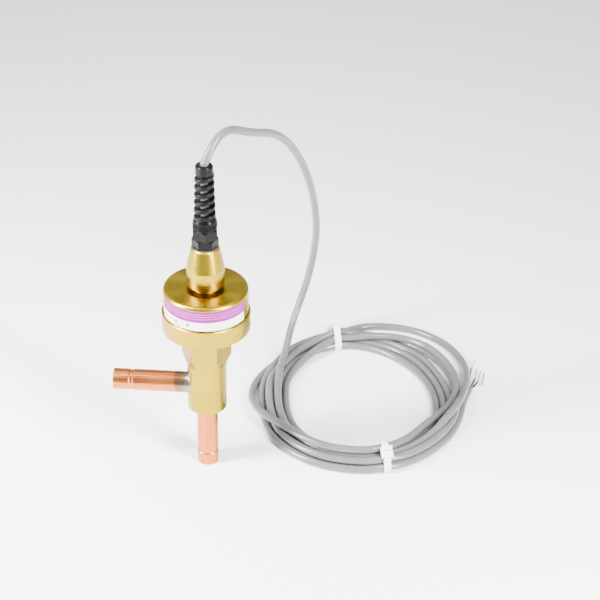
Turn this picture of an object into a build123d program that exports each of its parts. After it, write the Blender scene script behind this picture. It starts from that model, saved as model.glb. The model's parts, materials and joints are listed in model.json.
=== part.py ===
"""Angle-pattern electric expansion valve with a stepper motor and a coiled four-core cable.

The origin is the middle of the outlet stub's mouth. +Z runs up the valve's axis, and the inlet
stub points along -X. Sizes are in millimetres.
"""
from build123d import *
from math import acos, cos, degrees, hypot, pi, radians, sin, sqrt, tan
import os

os.makedirs("parts", exist_ok=True)

# ---- driving dimensions -------------------------------------------------------------------
STUB_R = 7.15            # copper stub, outside
SOCKET_R = 6.375         # socket for half-inch copper tube
STUB_BEAD_R = 5.85       # rolled bead that stops the tube
STUB_GROOVE_R = 6.72     # the same bead seen from outside
STUB_SEAT_DEPTH = 6.0    # how far the outlet stub enters the body
STUB_FIT = 0.03          # radial gap that the braze fills

BODY_R = 13.0
BODY_BOTTOM = 46.5
HEX_ACROSS_FLATS = 28.6
HEX_CONE_BOTTOM = 82.8   # where the cylinder starts to widen to the hexagon
HEX_CONE_TOP = 90.1      # where the hexagon's corners reach full size
INLET_Z = 64.4
INLET_REACH = 62.8       # valve axis to the inlet stub's mouth
CHAMBER_R = 8.2
CHAMBER_BOTTOM = 57.0
SLEEVE_BOTTOM = 74.0
BORE_R = 9.0             # upper bore: sleeve, guide and bearing sit in it
ORIFICE_R = 3.5

BASE_R = 29.05           # lower ring of the motor housing
BASE_BOTTOM = 110.4
BASE_FLOOR = 113.8
BASE_TOP = 123.8
NECK_R = 10.4            # body's neck inside the housing floor
CAP_R = 27.8
CAP_INNER_R = 24.3
CAP_TOP = 141.4
CAP_ROOF = 138.6
CAP_EDGE = 2.4
SPIGOT_R = 26.55
SPIGOT_BOTTOM = 120.4

TOWER_R = 12.38
TOWER_NECK_R = 8.9
TOWER_THREAD_R = 8.55
TOWER_BOTTOM = 135.0
TOWER_SHOULDER = 143.9
TOWER_CONE_BOTTOM = 156.4
TOWER_TOP_R = 9.2
TOWER_TOP = 171.4
HEADER_R = 6.5
WIREWAY_R = 5.2
GLAND_THREAD_R = 6.25

GLAND_FACING = -83.4     # degrees; where a flat of the gland's lower hexagon looks
GLAND_HEX_CORNER_R = 8.75
GLAND_NUT_CORNER_R = 8.95
GLAND_HEX_BOTTOM = 172.1
GLAND_HEX_TOP = 178.0
GLAND_NUT_BOTTOM = 178.2
GLAND_NUT_HEX_TOP = 185.3
GLAND_SHOULDER_R = 7.6
GLAND_SHOULDER_TOP = 193.4
SPIRAL_BOTTOM = 190.0
SPIRAL_TOP = 224.6
SPIRAL_PITCH = 5.4
COLLAR_R = 5.65
COLLAR_BOTTOM = 223.4
CORD_EXIT = 229.8        # top of the gland
CORD_R = 2.7

TRAVEL = 3.175           # pin lift from closed to fully open: four turns of a 32 TPI screw
SCREW_R = 2.95
SCREW_HEX = 6.0
FIT = 0.05               # radial running clearance

GEAR_MODULE = 0.5
PINION_TEETH = 16
WHEEL_TEETH = 32
GEAR_CENTRES = GEAR_MODULE * (PINION_TEETH + WHEEL_TEETH) / 2
PRESSURE_ANGLE = 20.0
BACKLASH = 0.06

PLATE_BOTTOM = 122.0     # motor plate
PLATE_TOP = 123.4
STATOR_R = 19.5
STATOR_BORE = 10.9
CUP_HEIGHT = 4.5
STATOR_MID = PLATE_TOP + CUP_HEIGHT
STATOR_TOP = PLATE_TOP + 2 * CUP_HEIGHT
SHEET = 0.8              # stator sheet thickness
SHAFT_R = 1.5
POST_CIRCLE = 22.0

COIL_CENTRE = (102.0, 76.0)
COIL_TOP = 16.2
TIE_WIDTH = 4.8
TIE_THICK = 1.2
TIE_BACK_ANGLE = 105.5
TIE_FRONT_ANGLE = 285.0
WIRE_R = 0.65
TIP_R = 0.35


# ---- shared helpers -----------------------------------------------------------------------
def save(part, name):
    part.label = name
    export_step(part, f"parts/{name}.step")


def radial_plane(angle, origin=(0, 0, 0)):
    """A plane through the vertical line at origin: x points outward at the angle, y points up."""
    a = radians(angle)
    return Plane(origin=origin, x_dir=(cos(a), sin(a), 0), z_dir=(sin(a), -cos(a), 0))


def polar(radius, angle, z=0.0, centre=(0.0, 0.0)):
    a = radians(angle)
    return (centre[0] + radius * cos(a), centre[1] + radius * sin(a), z)


def turned(points, plane=Plane.XZ, axis=Axis.Z, arc=360):
    """A solid of revolution from a closed outline of (radius, height) points."""
    with BuildPart() as solid:
        with BuildSketch(plane):
            with BuildLine():
                Polyline(*points, close=True)
            make_face()
        revolve(axis=axis, revolution_arc=arc)
    return solid.part


def ring(inner, outer, bottom, top):
    return turned([(inner, bottom), (outer, bottom), (outer, top), (inner, top)])


def bent_path(points):
    """Straight runs joined by tangent arcs, each as large as its two runs allow."""
    runs = [Vector(*b) - Vector(*a) for a, b in zip(points, points[1:])]
    radii = []
    for before, after in zip(runs, runs[1:]):
        half_turn = radians(before.get_angle(after)) / 2
        radii.append(0.45 * min(before.length, after.length) / tan(half_turn))
    return radii


def tube(points, radius, name=None):
    """A round bar that follows the points; the name prints its bend radii and volume check."""
    radii = bent_path(points)
    with BuildPart() as bar:
        with BuildLine() as route:
            FilletPolyline(*points, radius=radii)
        start = route.line @ 0
        along = route.line % 0
        with BuildSketch(Plane(origin=start, z_dir=along)):
            Circle(radius)
        sweep(path=route.line)
    if name:
        length = route.wire().length
        want = pi * radius**2 * length
        print(name, "radii", [round(r, 1) for r in radii], "length", round(length, 1))
        print(name, "volume / (section x length)", round(bar.part.volume / want, 4))
    return bar.part


# ---- copper stubs -------------------------------------------------------------------------
def stub_outline(length, stop, width):
    """Outline of a stub along its axis from the mouth; stop is the middle of the rolled bead."""
    low = stop - width / 2
    high = stop + width / 2
    return [
        (SOCKET_R, 0),
        (STUB_R, 0),
        (STUB_R, low),
        (STUB_GROOVE_R, low + 0.6),
        (STUB_GROOVE_R, high - 0.6),
        (STUB_R, high),
        (STUB_R, length),
        (SOCKET_R, length),
        (SOCKET_R, high + 0.2),
        (STUB_BEAD_R, high - 0.5),
        (STUB_BEAD_R, low + 0.5),
        (SOCKET_R, low - 0.2),
    ]


outlet_seat = BODY_BOTTOM + STUB_SEAT_DEPTH
with BuildPart() as outlet_stub:
    add(turned(stub_outline(outlet_seat - 0.1, 10.1, 2.4)))
save(outlet_stub.part, "outlet_stub")

inlet_plane = Plane(origin=(-INLET_REACH, 0, INLET_Z), x_dir=(0, 0, 1), z_dir=(0, 1, 0))
inlet_axis = Axis((-INLET_REACH, 0, INLET_Z), (1, 0, 0))
inlet_length = INLET_REACH - CHAMBER_R - 0.4
with BuildPart() as inlet_stub:
    add(turned(stub_outline(inlet_length, 12.0, 3.0), inlet_plane, inlet_axis))
save(inlet_stub.part, "inlet_stub")

# ---- valve body ---------------------------------------------------------------------------
hex_corner_r = HEX_ACROSS_FLATS / sqrt(3)
with BuildPart() as valve_body:
    with BuildSketch(Plane.XY.offset(BODY_BOTTOM)):
        RegularPolygon(radius=hex_corner_r, side_count=6)
    extrude(amount=BASE_BOTTOM - BODY_BOTTOM)
    with BuildSketch(Plane.XZ):
        with BuildLine():
            Polyline(
                (0, BODY_BOTTOM),
                (BODY_R - 0.7, BODY_BOTTOM),
                (BODY_R, BODY_BOTTOM + 0.7),
                (BODY_R, HEX_CONE_BOTTOM),
                (hex_corner_r, HEX_CONE_TOP),
                (hex_corner_r, BASE_BOTTOM),
                (0, BASE_BOTTOM),
                close=True,
            )
        make_face()
    revolve(axis=Axis.Z, mode=Mode.INTERSECT)
    add(ring(0, NECK_R, BASE_BOTTOM, BASE_FLOOR))
    with BuildSketch(Plane.XZ):
        with BuildLine():
            Polyline(
                (0, BODY_BOTTOM),
                (STUB_R + STUB_FIT, BODY_BOTTOM),
                (STUB_R + STUB_FIT, outlet_seat),
                (7.0, outlet_seat),
                (7.0, CHAMBER_BOTTOM),
                (CHAMBER_R, CHAMBER_BOTTOM),
                (CHAMBER_R, SLEEVE_BOTTOM),
                (BORE_R, SLEEVE_BOTTOM),
                (BORE_R, BASE_FLOOR),
                (0, BASE_FLOOR),
                close=True,
            )
        make_face()
    revolve(axis=Axis.Z, mode=Mode.SUBTRACT)
    with BuildSketch(Plane(origin=(-BODY_R - 1, 0, INLET_Z), z_dir=(1, 0, 0))):
        Circle(STUB_R + STUB_FIT)
    extrude(amount=BODY_R + 1, mode=Mode.SUBTRACT)
save(valve_body.part, "valve_body")

with BuildPart() as valve_seat:
    add(turned([
        (ORIFICE_R, outlet_seat),
        (7.0, outlet_seat),
        (7.0, CHAMBER_BOTTOM),
        (4.2, CHAMBER_BOTTOM),
        (ORIFICE_R, CHAMBER_BOTTOM - 0.6),
    ]))
save(valve_seat.part, "valve_seat")


# ---- braze fillets where the stubs meet the body ------------------------------------------
def fillet_ring(plane, axis, start, end, foot_r):
    """Concave ring of filler from the stub's surface at start to the foot radius at end."""
    with BuildPart() as filler:
        with BuildSketch(plane):
            with BuildLine():
                Line((STUB_R, start), (STUB_R, end))
                Line((STUB_R, end), (foot_r, end))
                Bezier(
                    (foot_r, end),
                    (STUB_R + 0.12 * (foot_r - STUB_R), start + 0.8 * (end - start)),
                    (STUB_R, start),
                )
            make_face()
        revolve(axis=axis)
    return filler.part


with BuildPart() as outlet_braze:
    add(fillet_ring(Plane.XZ, Axis.Z, BODY_BOTTOM - 1.6, BODY_BOTTOM, STUB_R + 1.7))
save(outlet_braze.part, "outlet_braze")

with BuildPart() as inlet_braze:
    add(fillet_ring(inlet_plane, inlet_axis, INLET_REACH - 15.4, INLET_REACH - 6.4, STUB_R + 3.7))
    with BuildSketch(Plane.XY.offset(INLET_Z - 20)):
        Circle(BODY_R)
    extrude(amount=40, mode=Mode.SUBTRACT)
save(inlet_braze.part, "inlet_braze")

# ---- pin, screw and their guides ----------------------------------------------------------
SLEEVE_TOP = 92.0
PIN_TOP = 87.0
GUIDE_TOP = 98.0
BEARING_BOTTOM = 105.0
BEARING_TOP = 109.0
NUT_BOTTOM = 103.0
NUT_TOP = 117.0
DRIVE_GEAR_BOTTOM = 114.4

with BuildPart() as pin_sleeve:
    add(ring(5.0 + FIT, BORE_R, SLEEVE_BOTTOM, SLEEVE_TOP))
save(pin_sleeve.part, "pin_sleeve")

with BuildPart() as valve_pin:
    add(turned([
        (0, 53.2),
        (2.2, 53.2),
        (ORIFICE_R - 0.04, CHAMBER_BOTTOM - 0.6),
        (4.4, 60.5),
        (4.4, 64.5),
        (5.0, 66.0),
        (5.0, PIN_TOP - 0.4),
        (4.6, PIN_TOP),
        (0, PIN_TOP),
    ]))
save(valve_pin.part, "valve_pin")

with BuildPart() as lead_screw:
    with BuildSketch(Plane.XY.offset(PIN_TOP)):
        RegularPolygon(radius=SCREW_HEX / sqrt(3), side_count=6)
    extrude(amount=12)
    with BuildSketch(Plane.XY.offset(PIN_TOP + 12)):
        Circle(SCREW_R)
    extrude(amount=13.9)
    chamfer(lead_screw.faces().sort_by(Axis.Z)[-1].edges(), length=0.5)
save(lead_screw.part, "lead_screw")

with BuildPart() as screw_guide:
    add(ring(0, BORE_R, SLEEVE_TOP, BEARING_BOTTOM))
    with BuildSketch(Plane.XY.offset(GUIDE_TOP)):
        Circle(7.6)
    extrude(amount=BEARING_BOTTOM - GUIDE_TOP, mode=Mode.SUBTRACT)
    with BuildSketch(Plane.XY.offset(SLEEVE_TOP)):
        RegularPolygon(radius=(SCREW_HEX + 2 * 0.06) / sqrt(3), side_count=6)
    extrude(amount=GUIDE_TOP - SLEEVE_TOP, mode=Mode.SUBTRACT)
save(screw_guide.part, "screw_guide")

# ---- thrust bearing of the drive nut ------------------------------------------------------
BALL_R = 1.0
BALL_CIRCLE = 7.2
BALL_COUNT = 11
ball_z = (BEARING_BOTTOM + BEARING_TOP) / 2
with BuildPart() as raceway:
    with BuildSketch(Plane.XZ):
        with Locations((BALL_CIRCLE, ball_z)):
            Circle(BALL_R + FIT)
    revolve(axis=Axis.Z)

with BuildPart() as bearing_outer_race:
    add(ring(7.75, BORE_R, BEARING_BOTTOM, BEARING_TOP))
    add(raceway.part, mode=Mode.SUBTRACT)
save(bearing_outer_race.part, "bearing_outer_race")

with BuildPart() as bearing_inner_race:
    add(ring(5.5, 6.65, BEARING_BOTTOM, BEARING_TOP))
    add(raceway.part, mode=Mode.SUBTRACT)
save(bearing_inner_race.part, "bearing_inner_race")

with BuildPart() as bearing_balls:
    with Locations((0, 0, ball_z)):
        with PolarLocations(BALL_CIRCLE, BALL_COUNT):
            Sphere(BALL_R)
save(bearing_balls.part, "bearing_balls")

with BuildPart() as bearing_retainer:
    add(ring(7.6, BORE_R, BEARING_TOP, BEARING_TOP + 2))
    with BuildSketch(Plane.XY.offset(BEARING_TOP + 1)):
        with PolarLocations(8.3, 2):
            Rectangle(2.4, 1.2)
    extrude(amount=1, mode=Mode.SUBTRACT)
save(bearing_retainer.part, "bearing_retainer")

with BuildPart() as drive_nut:
    add(turned([
        (SCREW_R + FIT, NUT_BOTTOM),
        (6.3, NUT_BOTTOM),
        (6.3, BEARING_BOTTOM),
        (5.5, BEARING_BOTTOM),
        (5.5, DRIVE_GEAR_BOTTOM),
        (4.4, DRIVE_GEAR_BOTTOM),
        (4.4, NUT_TOP),
        (SCREW_R + FIT, NUT_TOP),
    ]))
save(drive_nut.part, "drive_nut")


# ---- gear train ---------------------------------------------------------------------------
def tooth_half_angle(radius, teeth):
    """Half the angle of an involute tooth at a radius, in radians."""
    pitch_r = GEAR_MODULE * teeth / 2
    base_r = pitch_r * cos(radians(PRESSURE_ANGLE))
    at_pitch = pi / (2 * teeth) - BACKLASH / (2 * pitch_r)
    slope = acos(min(1.0, base_r / max(radius, base_r)))
    pitch_slope = radians(PRESSURE_ANGLE)
    return at_pitch - ((tan(slope) - slope) - (tan(pitch_slope) - pitch_slope))


def gear(teeth, bore, bottom, width, turn=0.0, centre=(0.0, 0.0)):
    """A spur gear with a tooth at the angle turn, in degrees."""
    pitch_r = GEAR_MODULE * teeth / 2
    root_r = pitch_r - 1.25 * GEAR_MODULE
    tip_r = pitch_r + GEAR_MODULE
    levels = [root_r + (tip_r - root_r) * step / 4 for step in range(5)]
    outline = []
    for tooth in range(teeth):
        middle = radians(turn) + 2 * pi * tooth / teeth
        rising = [(r, middle - tooth_half_angle(r, teeth)) for r in levels]
        falling = [(r, middle + tooth_half_angle(r, teeth)) for r in reversed(levels)]
        outline += rising + falling
    with BuildPart() as wheel:
        with BuildSketch(Plane.XY.offset(bottom)):
            with Locations(centre):
                with BuildLine():
                    Polyline(*[(r * cos(a), r * sin(a)) for r, a in outline], close=True)
                make_face()
                Circle(bore, mode=Mode.SUBTRACT)
        extrude(amount=width)
    return wheel.part


with BuildPart() as drive_gear:
    add(gear(WHEEL_TEETH, 4.4, DRIVE_GEAR_BOTTOM, 2.0))
save(drive_gear.part, "drive_gear")

with BuildPart() as rotor_pinion:
    add(gear(PINION_TEETH, SHAFT_R, 118.4, 2.4))
save(rotor_pinion.part, "rotor_pinion")

IDLER_SHAFT_R = 1.0
idler_bore = IDLER_SHAFT_R + FIT
half_wheel_pitch = 180 / WHEEL_TEETH
half_pinion_pitch = 180 / PINION_TEETH
idler_place = Location((GEAR_CENTRES, 0, 0))
with BuildPart() as idler_gear:
    add(gear(PINION_TEETH, idler_bore, 114.3, 2.4, half_pinion_pitch).moved(idler_place))
    add(ring(idler_bore, 2.6, 116.7, 121.2).moved(idler_place))
    add(gear(WHEEL_TEETH, idler_bore, 118.6, 2.0, half_wheel_pitch).moved(idler_place))
save(idler_gear.part, "idler_gear")

with BuildPart() as idler_shaft:
    with BuildSketch(Plane.XY.offset(112.3)):
        with Locations((GEAR_CENTRES, 0)):
            Circle(IDLER_SHAFT_R)
    extrude(amount=10.7)
save(idler_shaft.part, "idler_shaft")

# ---- housing ------------------------------------------------------------------------------
with BuildPart() as housing_base:
    add(turned([
        (NECK_R, BASE_BOTTOM),
        (BASE_R - 0.8, BASE_BOTTOM),
        (BASE_R, BASE_BOTTOM + 0.8),
        (BASE_R, BASE_TOP - 0.5),
        (BASE_R - 0.5, BASE_TOP),
        (SPIGOT_R + FIT, BASE_TOP),
        (SPIGOT_R + FIT, SPIGOT_BOTTOM - 0.1),
        (25.0, SPIGOT_BOTTOM - 0.1),
        (25.0, BASE_FLOOR),
        (NECK_R, BASE_FLOOR),
    ]))
    with BuildSketch(Plane.XY.offset(BASE_FLOOR)):
        with Locations((GEAR_CENTRES, 0)):
            Circle(IDLER_SHAFT_R)
        with PolarLocations(POST_CIRCLE, 3, start_angle=60):
            Circle(1.25)
    extrude(amount=-1.5, mode=Mode.SUBTRACT)
save(housing_base.part, "housing_base")

SEAL_GROOVE_R = 25.3
SEAL_Z = 122.1
SEAL_R = 0.62
with BuildPart() as housing_cap:
    add(turned([
        (CAP_INNER_R, SPIGOT_BOTTOM),
        (SPIGOT_R, SPIGOT_BOTTOM),
        (SPIGOT_R, SEAL_Z - 0.9),
        (SEAL_GROOVE_R, SEAL_Z - 0.9),
        (SEAL_GROOVE_R, SEAL_Z + 0.9),
        (SPIGOT_R, SEAL_Z + 0.9),
        (SPIGOT_R, BASE_TOP),
        (CAP_R - 0.3, BASE_TOP),
        (CAP_R, BASE_TOP + 0.4),
        (CAP_R, CAP_TOP),
        (TOWER_THREAD_R + FIT, CAP_TOP),
        (TOWER_THREAD_R + FIT, CAP_ROOF),
        (CAP_INNER_R, CAP_ROOF),
    ]))
    rim = housing_cap.edges().filter_by(GeomType.CIRCLE).group_by(Axis.Z)[-1].sort_by(SortBy.RADIUS)[-1]
    fillet(rim, radius=CAP_EDGE)
save(housing_cap.part, "housing_cap")

with BuildPart() as housing_seal:
    with BuildSketch(Plane.XZ):
        with Locations((SEAL_GROOVE_R + SEAL_R + 0.01, SEAL_Z)):
            Circle(SEAL_R)
    revolve(axis=Axis.Z)
save(housing_seal.part, "housing_seal")

LABEL_START = -156.4
LABEL_ARC = 133.0
LABEL_THICK = 0.12
with BuildPart() as housing_label:
    with BuildSketch(radial_plane(LABEL_START)):
        with BuildLine():
            Polyline(
                (CAP_R, 124.5),
                (CAP_R + LABEL_THICK, 124.5),
                (CAP_R + LABEL_THICK, 138.9),
                (CAP_R, 138.9),
                close=True,
            )
        make_face()
    revolve(axis=Axis.Z, revolution_arc=LABEL_ARC)
save(housing_label.part, "housing_label")

# ---- cable tower on the cap ---------------------------------------------------------------
with BuildPart() as cable_tower:
    add(turned([
        (HEADER_R, TOWER_BOTTOM),
        (TOWER_THREAD_R, TOWER_BOTTOM),
        (TOWER_THREAD_R, CAP_TOP),
        (TOWER_NECK_R, CAP_TOP),
        (TOWER_NECK_R, TOWER_SHOULDER),
        (TOWER_R - 0.5, TOWER_SHOULDER),
        (TOWER_R, TOWER_SHOULDER + 0.5),
        (TOWER_R, TOWER_CONE_BOTTOM),
        (TOWER_TOP_R + 0.1, TOWER_TOP - 0.7),
        (TOWER_TOP_R - 0.6, TOWER_TOP),
        (GLAND_THREAD_R, TOWER_TOP),
        (GLAND_THREAD_R, 158.0),
        (WIREWAY_R, 158.0),
        (WIREWAY_R, CAP_ROOF),
        (HEADER_R, CAP_ROOF),
    ]))
save(cable_tower.part, "cable_tower")

with BuildPart() as tower_lock_ring:
    with BuildSketch(Plane.XY.offset(CAP_ROOF - 2.8)):
        RegularPolygon(radius=12.4, side_count=6)
        Circle(TOWER_THREAD_R, mode=Mode.SUBTRACT)
    extrude(amount=2.8)
save(tower_lock_ring.part, "tower_lock_ring")

PIN_CIRCLE = 3.0
PIN_START = 22.5
PIN_R = 0.5
GLASS_R = 1.05
pin_spots = [polar(PIN_CIRCLE, PIN_START + 90 * k) for k in range(4)]
with BuildPart() as header_disc:
    with BuildSketch(Plane.XY.offset(135.4)):
        Circle(HEADER_R)
        with Locations(*[spot[:2] for spot in pin_spots]):
            Circle(GLASS_R, mode=Mode.SUBTRACT)
    extrude(amount=CAP_ROOF - 135.4)
save(header_disc.part, "header_disc")

with BuildPart() as header_glass:
    with BuildSketch(Plane.XY.offset(135.4)):
        with Locations(*[spot[:2] for spot in pin_spots]):
            Circle(GLASS_R)
            Circle(PIN_R, mode=Mode.SUBTRACT)
    extrude(amount=CAP_ROOF - 135.4)
save(header_glass.part, "header_glass")

with BuildPart() as header_pins:
    with BuildSketch(Plane.XY.offset(135.0)):
        with Locations(*[spot[:2] for spot in pin_spots]):
            Circle(PIN_R)
    extrude(amount=7.0)
save(header_pins.part, "header_pins")

JACKET_BOTTOM = 157.0
INNER_LEAD_R = 0.7
with BuildPart() as tower_leads:
    with BuildSketch(Plane.XY.offset(142.0)):
        with Locations(*[spot[:2] for spot in pin_spots]):
            Circle(INNER_LEAD_R)
    extrude(amount=JACKET_BOTTOM - 142.0)
save(tower_leads.part, "tower_leads")

with BuildPart() as tower_potting:
    with BuildSketch(Plane.XY.offset(144.0)):
        Circle(WIREWAY_R)
        with Locations(*[spot[:2] for spot in pin_spots]):
            Circle(INNER_LEAD_R, mode=Mode.SUBTRACT)
    extrude(amount=12.0)
save(tower_potting.part, "tower_potting")

# ---- stepper motor ------------------------------------------------------------------------
with BuildPart() as motor_plate:
    with BuildSketch(Plane.XY.offset(PLATE_BOTTOM)):
        Circle(23.9)
        Circle(3.0, mode=Mode.SUBTRACT)
        with Locations((GEAR_CENTRES, 0)):
            Circle(IDLER_SHAFT_R, mode=Mode.SUBTRACT)
        with PolarLocations(POST_CIRCLE, 3, start_angle=60):
            Circle(1.3, mode=Mode.SUBTRACT)
    extrude(amount=PLATE_TOP - PLATE_BOTTOM)
save(motor_plate.part, "motor_plate")

with BuildPart() as motor_posts:
    with BuildSketch(Plane.XY.offset(BASE_FLOOR)):
        with PolarLocations(POST_CIRCLE, 3, start_angle=60):
            Circle(1.9)
            Circle(1.3, mode=Mode.SUBTRACT)
    extrude(amount=PLATE_BOTTOM - BASE_FLOOR)
save(motor_posts.part, "motor_posts")

with BuildPart() as motor_screws:
    with BuildSketch(Plane.XY.offset(BASE_FLOOR - 1.5)):
        with PolarLocations(POST_CIRCLE, 3, start_angle=60):
            Circle(1.25)
    extrude(amount=PLATE_TOP - BASE_FLOOR + 1.5)
    with BuildSketch(Plane.XY.offset(PLATE_TOP)):
        with PolarLocations(POST_CIRCLE, 3, start_angle=60):
            Circle(2.0)
    extrude(amount=1.6)
    with BuildSketch(Plane.XY.offset(PLATE_TOP + 0.9)):
        with PolarLocations(POST_CIRCLE, 3, start_angle=60):
            Rectangle(4.2, 0.6)
    extrude(amount=0.8, mode=Mode.SUBTRACT)
save(motor_screws.part, "motor_screws")


def claws(bottom, height, turn):
    """Six pole claws of a stator ring; turn is the first one's angle in degrees."""
    with BuildPart() as teeth:
        with BuildSketch(Plane.XY.offset(bottom)):
            with PolarLocations(STATOR_BORE + SHEET / 2, 6, start_angle=turn):
                Rectangle(SHEET, 3.4)
        extrude(amount=height)
    return teeth.part


bobbin_height = CUP_HEIGHT - 2 * SHEET
with BuildPart() as stator_cup_lower:
    add(turned([
        (STATOR_BORE, PLATE_TOP),
        (STATOR_R, PLATE_TOP),
        (STATOR_R, STATOR_MID),
        (STATOR_R - SHEET, STATOR_MID),
        (STATOR_R - SHEET, PLATE_TOP + SHEET),
        (STATOR_BORE, PLATE_TOP + SHEET),
    ]))
    add(claws(PLATE_TOP, SHEET + 2.4, 0))
save(stator_cup_lower.part, "stator_cup_lower")

with BuildPart() as stator_cup_upper:
    add(turned([
        (3.0, STATOR_TOP),
        (STATOR_R, STATOR_TOP),
        (STATOR_R, STATOR_MID),
        (STATOR_R - SHEET, STATOR_MID),
        (STATOR_R - SHEET, STATOR_TOP - SHEET),
        (3.0, STATOR_TOP - SHEET),
    ]))
    add(claws(STATOR_TOP - SHEET - 2.4, SHEET + 2.4, 15))
save(stator_cup_upper.part, "stator_cup_upper")

with BuildPart() as pole_plates:
    add(ring(STATOR_BORE, STATOR_R - SHEET - 0.05, STATOR_MID - SHEET, STATOR_MID + SHEET))
    add(claws(STATOR_MID - SHEET - 2.4, SHEET + 2.4, 30))
    add(claws(STATOR_MID, SHEET + 2.4, 45))
save(pole_plates.part, "pole_plates")


def bobbin(bottom):
    flange = 0.4
    core = STATOR_BORE + SHEET + 0.15
    top = bottom + bobbin_height
    return turned([
        (core, bottom),
        (18.0, bottom),
        (18.0, bottom + flange),
        (core + 0.8, bottom + flange),
        (core + 0.8, top - flange),
        (18.0, top - flange),
        (18.0, top),
        (core, top),
    ])


def winding(bottom):
    flange = 0.4
    core = STATOR_BORE + SHEET + 0.95
    return ring(core, 17.6, bottom + flange, bottom + bobbin_height - flange)


lower_bobbin_z = PLATE_TOP + SHEET
upper_bobbin_z = STATOR_MID + SHEET
with BuildPart() as bobbins:
    add(bobbin(lower_bobbin_z))
    add(bobbin(upper_bobbin_z))
save(bobbins.part, "bobbins")

with BuildPart() as windings:
    add(winding(lower_bobbin_z))
    add(winding(upper_bobbin_z))
save(windings.part, "windings")

with BuildPart() as rotor_shaft:
    add(ring(0, SHAFT_R, 117.6, 132.8))
save(rotor_shaft.part, "rotor_shaft")

with BuildPart() as rotor_hub:
    add(ring(SHAFT_R, 6.0, 123.9, 131.2))
save(rotor_hub.part, "rotor_hub")

with BuildPart() as rotor_magnet:
    add(ring(6.0, 10.4, 124.3, 130.9))
save(rotor_magnet.part, "rotor_magnet")

with BuildPart() as motor_bush_lower:
    add(turned([
        (SHAFT_R + FIT, 121.4),
        (3.9, 121.4),
        (3.9, PLATE_BOTTOM),
        (3.0, PLATE_BOTTOM),
        (3.0, PLATE_TOP),
        (SHAFT_R + FIT, PLATE_TOP),
    ]))
save(motor_bush_lower.part, "motor_bush_lower")

with BuildPart() as motor_bush_upper:
    add(turned([
        (SHAFT_R + FIT, STATOR_TOP - SHEET),
        (3.0, STATOR_TOP - SHEET),
        (3.0, STATOR_TOP),
        (3.9, STATOR_TOP),
        (3.9, STATOR_TOP + 0.5),
        (SHAFT_R + FIT, STATOR_TOP + 0.5),
    ]))
save(motor_bush_upper.part, "motor_bush_upper")

TERMINAL_X = 15.5
with BuildPart() as terminal_block:
    with BuildSketch(Plane.XY.offset(STATOR_TOP)):
        with Locations((TERMINAL_X, 0)):
            Rectangle(4.0, 8.0)
    extrude(amount=0.8)
save(terminal_block.part, "terminal_block")

motor_lead_parts = []
for x, y, _ in pin_spots:
    lead_route = [(x, y, 135.0), (x, y, 134.0), (TERMINAL_X, y, 134.0), (TERMINAL_X, y, 133.2)]
    with BuildPart() as motor_lead:
        with BuildLine() as lead_line:
            FilletPolyline(*lead_route, radius=0.5)
        with BuildSketch(Plane(origin=lead_route[0], z_dir=(0, 0, -1))):
            Circle(0.4)
        sweep(path=lead_line.line)
    motor_lead_parts.append(motor_lead.part)
with BuildPart() as motor_leads:
    for lead in motor_lead_parts:
        add(lead)
save(motor_leads.part, "motor_leads")

# ---- cable gland --------------------------------------------------------------------------
gland_turn = GLAND_FACING + 30
with BuildPart() as gland_gasket:
    add(ring(GLAND_THREAD_R, 8.4, TOWER_TOP, GLAND_HEX_BOTTOM))
save(gland_gasket.part, "gland_gasket")


def chamfered_hex(corner_r, turn, bottom, top, low_slope, high_slope):
    """A hexagonal bar whose corners are turned off at both ends."""
    flat_r = corner_r * cos(radians(30)) - 0.15
    drop = (corner_r - flat_r) * tan(radians(30))
    with BuildPart() as bar:
        with BuildSketch(Plane.XY.offset(bottom)):
            RegularPolygon(radius=corner_r, side_count=6, rotation=turn)
        extrude(amount=top - bottom)
        with BuildSketch(Plane.XZ):
            with BuildLine():
                Polyline(
                    (0, bottom),
                    (flat_r, bottom),
                    (corner_r, bottom + drop * low_slope),
                    (corner_r, top - drop * high_slope),
                    (flat_r, top),
                    (0, top),
                    close=True,
                )
            make_face()
        revolve(axis=Axis.Z, mode=Mode.INTERSECT)
    return bar.part


with BuildPart() as gland_body:
    add(chamfered_hex(GLAND_HEX_CORNER_R, gland_turn, GLAND_HEX_BOTTOM, GLAND_HEX_TOP, 1.0, 0.5))
    add(ring(0, 6.2, 163.0, GLAND_HEX_BOTTOM))
    add(ring(0, 5.6, GLAND_HEX_TOP, 184.0))
    add(ring(0, 4.4, 174.5, 184.0), mode=Mode.SUBTRACT)
    add(ring(0, 3.2, 163.0, 174.5), mode=Mode.SUBTRACT)
save(gland_body.part, "gland_body")

with BuildPart() as gland_seal:
    add(ring(CORD_R, 4.4, 174.5, 184.6))
save(gland_seal.part, "gland_seal")

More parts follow.
